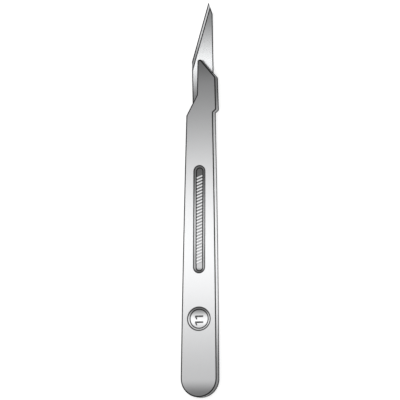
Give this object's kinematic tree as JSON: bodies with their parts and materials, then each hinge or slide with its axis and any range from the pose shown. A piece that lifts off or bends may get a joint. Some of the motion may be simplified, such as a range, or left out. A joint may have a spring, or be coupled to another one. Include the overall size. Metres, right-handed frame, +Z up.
{
  "type": "disposable scalpel",
  "caption": "Disposable scalpel: flat tapered moulded handle with a ribbed grip pocket and a number dish, and a pointed straight-edged blade fixed in its nose.",
  "frame": {"origin": "under the middle of the whole instrument, on the surface it lies on", "axes": "+Z up out of the face with the number dish, +Y along the instrument to the tip of the blade, cutting edge towards -X"},
  "size_m": [0.0138, 0.146, 0.0038],
  "materials": {
    "handle_plastic": "satin silver-grey moulded plastic",
    "blade_steel": "fine-ground stainless steel"
  },
  "bodies": {
    "root": {"handle": "handle_plastic", "blade": "blade_steel"}
  },
  "joints": []
}
